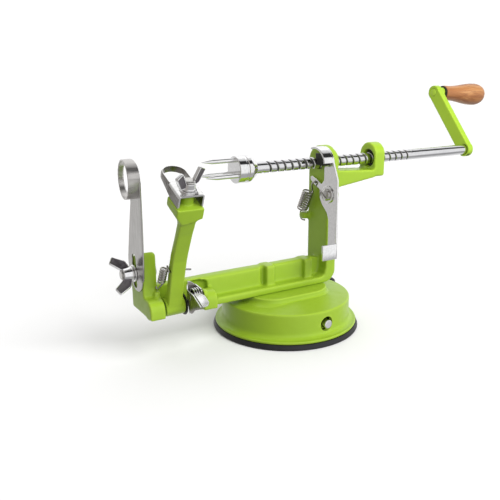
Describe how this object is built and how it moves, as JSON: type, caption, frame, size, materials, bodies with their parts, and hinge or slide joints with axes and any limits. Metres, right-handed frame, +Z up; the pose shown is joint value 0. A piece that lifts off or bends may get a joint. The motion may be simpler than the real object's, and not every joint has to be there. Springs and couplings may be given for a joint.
{
  "type": "apple peeler",
  "caption": "Hand-cranked fruit peeler, corer and slicer: a screw-fed fork turned by a wooden-handled crank, with a sprung peeling arm and a coring ring on a suction base.",
  "frame": {"origin": "centre of the round suction pad, on the table top", "axes": "+X along the feed screw from the coring ring towards the crank, +Y away from the peeling arm to the rear, +Z up"},
  "size_m": [0.3519, 0.1093, 0.1634],
  "materials": {
    "lime_paint": "gloss",
    "plated_steel": "polished",
    "blade_steel": "polished",
    "screw_steel": "polished",
    "fixings": "satin",
    "spring_steel": "satin",
    "dark_steel": "satin",
    "rubber_pad": "satin",
    "black_grip": "satin",
    "handle_wood": "oiled"
  },
  "bodies": {
    "stand": {"base_housing": "lime_paint", "suction_pad": "rubber_pad", "frame_screws": "fixings", "frame": "lime_paint", "lever_screw": "fixings", "lever_washer": "plated_steel", "release_spring": "spring_steel", "arm_pivot_pin": "fixings", "arm_spring": "spring_steel", "latch_pin": "fixings", "slicer_blade": "blade_steel", "coring_ring": "blade_steel", "blade_bolt": "fixings", "blade_washer": "plated_steel"},
    "sleeve": {"shaft_sleeve": "dark_steel"},
    "screw": {"feed_screw": "screw_steel", "fork_hub": "plated_steel", "fork_tines": "plated_steel", "crank_arm": "lime_paint", "crank_set_screw": "dark_steel", "handle_pin": "fixings", "handle_washer": "dark_steel"},
    "grip": {"handle": "handle_wood"},
    "release": {"release_lever": "plated_steel", "half_nut": "dark_steel"},
    "suction": {"cam_shaft": "plated_steel", "suction_cam": "fixings", "suction_lever": "plated_steel", "lever_grip": "black_grip"},
    "plunger": {"suction_plunger": "fixings"},
    "arm": {"peeling_arm": "lime_paint", "peeler_blade": "blade_steel", "peeler_stud": "fixings", "peeler_washer": "plated_steel"},
    "peeler_nut": {"peeler_wing_nut": "plated_steel"},
    "latch": {"arm_latch": "plated_steel", "latch_spring": "spring_steel"},
    "blade_nut": {"blade_wing_nut": "plated_steel"}
  },
  "joints": [
    {"name": "crank_turn", "type": "hinge", "parent": "stand", "child": "sleeve", "pos_m": [0.0758, 0, 0.1123], "axis": [1, 0, 0], "range_deg": [-3737, 2491]},
    {"name": "feed", "type": "slide", "parent": "sleeve", "child": "screw", "axis": [1, 0, 0], "range_m": [-0.06, 0.04]},
    {"name": "handle_spin", "type": "hinge", "parent": "screw", "child": "grip", "pos_m": [0.1716, 0.03637, 0.15658], "axis": [0.9988, 0, -0.0489], "continuous": true},
    {"name": "release_swing", "type": "hinge", "parent": "stand", "child": "release", "pos_m": [0.0258, -0.014, 0.092], "axis": [1, 0, 0], "range_deg": [0, 10], "stiffness_Nm_per_rad": 0.08, "springref_deg": -34.38, "deforming": ["release_spring"]},
    {"name": "suction_turn", "type": "hinge", "parent": "stand", "child": "suction", "pos_m": [0, 0, 0.013], "axis": [0.0732, -0.9973, 0], "range_deg": [0, 90]},
    {"name": "plunger_lift", "type": "slide", "parent": "stand", "child": "plunger", "axis": [0, 0, 1], "range_m": [0, 0.0025]},
    {"name": "arm_swing", "type": "hinge", "parent": "stand", "child": "arm", "pos_m": [-0.09, -0.0105, 0.033], "axis": [1, 0, 0], "range_deg": [0, 42], "stiffness_Nm_per_rad": 0.06, "springref_deg": -68.75, "deforming": ["arm_spring"]},
    {"name": "peeler_nut_turn", "type": "hinge", "parent": "arm", "child": "peeler_nut", "pos_m": [-0.091, -0.04147, 0.11116], "axis": [0, -0.4067, 0.9135], "continuous": true},
    {"name": "latch_swing", "type": "hinge", "parent": "stand", "child": "latch", "pos_m": [-0.079, -0.0189, 0.04], "axis": [1, 0, 0], "range_deg": [0, 16], "stiffness_Nm_per_rad": 0.02, "springref_deg": -17.19},
    {"name": "blade_nut_turn", "type": "hinge", "parent": "stand", "child": "blade_nut", "pos_m": [-0.112, 0.0055, 0.053], "axis": [-1, 0, 0], "continuous": true}
  ],
  "couplings": [
    {"joint": "feed", "follows": "crank_turn", "m_per_rad": 0.00091991},
    {"joint": "plunger_lift", "follows": "suction_turn", "m_per_rad": 0.0015915}
  ]
}
